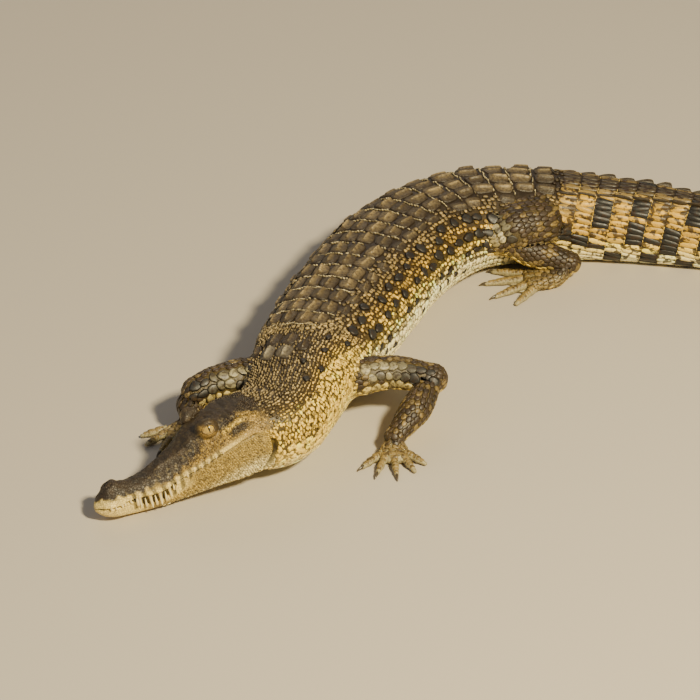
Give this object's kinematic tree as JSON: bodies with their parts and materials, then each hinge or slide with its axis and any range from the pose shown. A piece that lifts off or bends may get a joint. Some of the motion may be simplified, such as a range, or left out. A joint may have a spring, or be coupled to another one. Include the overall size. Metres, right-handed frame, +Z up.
{
  "type": "saltwater crocodile model",
  "caption": "Saltwater crocodile at rest, a still life-size museum model with its body curved, head low and tail laid back.",
  "frame": {"origin": "middle of the flat the belly rests on, on the floor under the middle of the trunk", "axes": "+Z up, +X towards the tail's end, -Y towards the side the left flank faces"},
  "size_m": [1.4625, 0.8465, 0.1233],
  "materials": {
    "head_skin": "matte horny head skin, dark olive brown",
    "jaw_skin": "matte cream and yellow jaw skin",
    "neck_skin": "beaded scales, grey brown above, gold at the sides",
    "trunk_skin": "dark armoured back, golden brown flanks, cream belly",
    "tail_skin": "golden brown tail scales with black bands",
    "limb_skin": "dark leg scales outlined in gold",
    "claw_horn": "dark smooth horn",
    "eye": "wet golden eye with a slit pupil"
  },
  "bodies": {
    "root": {"claw_fore_left_1": "claw_horn", "claw_fore_left_2": "claw_horn", "claw_fore_left_3": "claw_horn", "claw_fore_right_1": "claw_horn", "claw_fore_right_2": "claw_horn", "claw_fore_right_3": "claw_horn", "claw_hind_left_1": "claw_horn", "claw_hind_left_2": "claw_horn", "claw_hind_left_3": "claw_horn", "claw_hind_right_1": "claw_horn", "claw_hind_right_2": "claw_horn", "claw_hind_right_3": "claw_horn", "eye_left": "eye", "eye_right": "eye", "foot_left": "limb_skin", "foot_right": "limb_skin", "forearm_left": "limb_skin", "forearm_right": "limb_skin", "hand_left": "limb_skin", "hand_right": "limb_skin", "head": "head_skin", "lower_jaw": "jaw_skin", "neck": "neck_skin", "shin_left": "limb_skin", "shin_right": "limb_skin", "tail_base": "tail_skin", "tail_middle": "tail_skin", "tail_tip": "tail_skin", "thigh_left": "limb_skin", "thigh_right": "limb_skin", "trunk": "trunk_skin", "upper_arm_left": "limb_skin", "upper_arm_right": "limb_skin"}
  },
  "joints": []
}
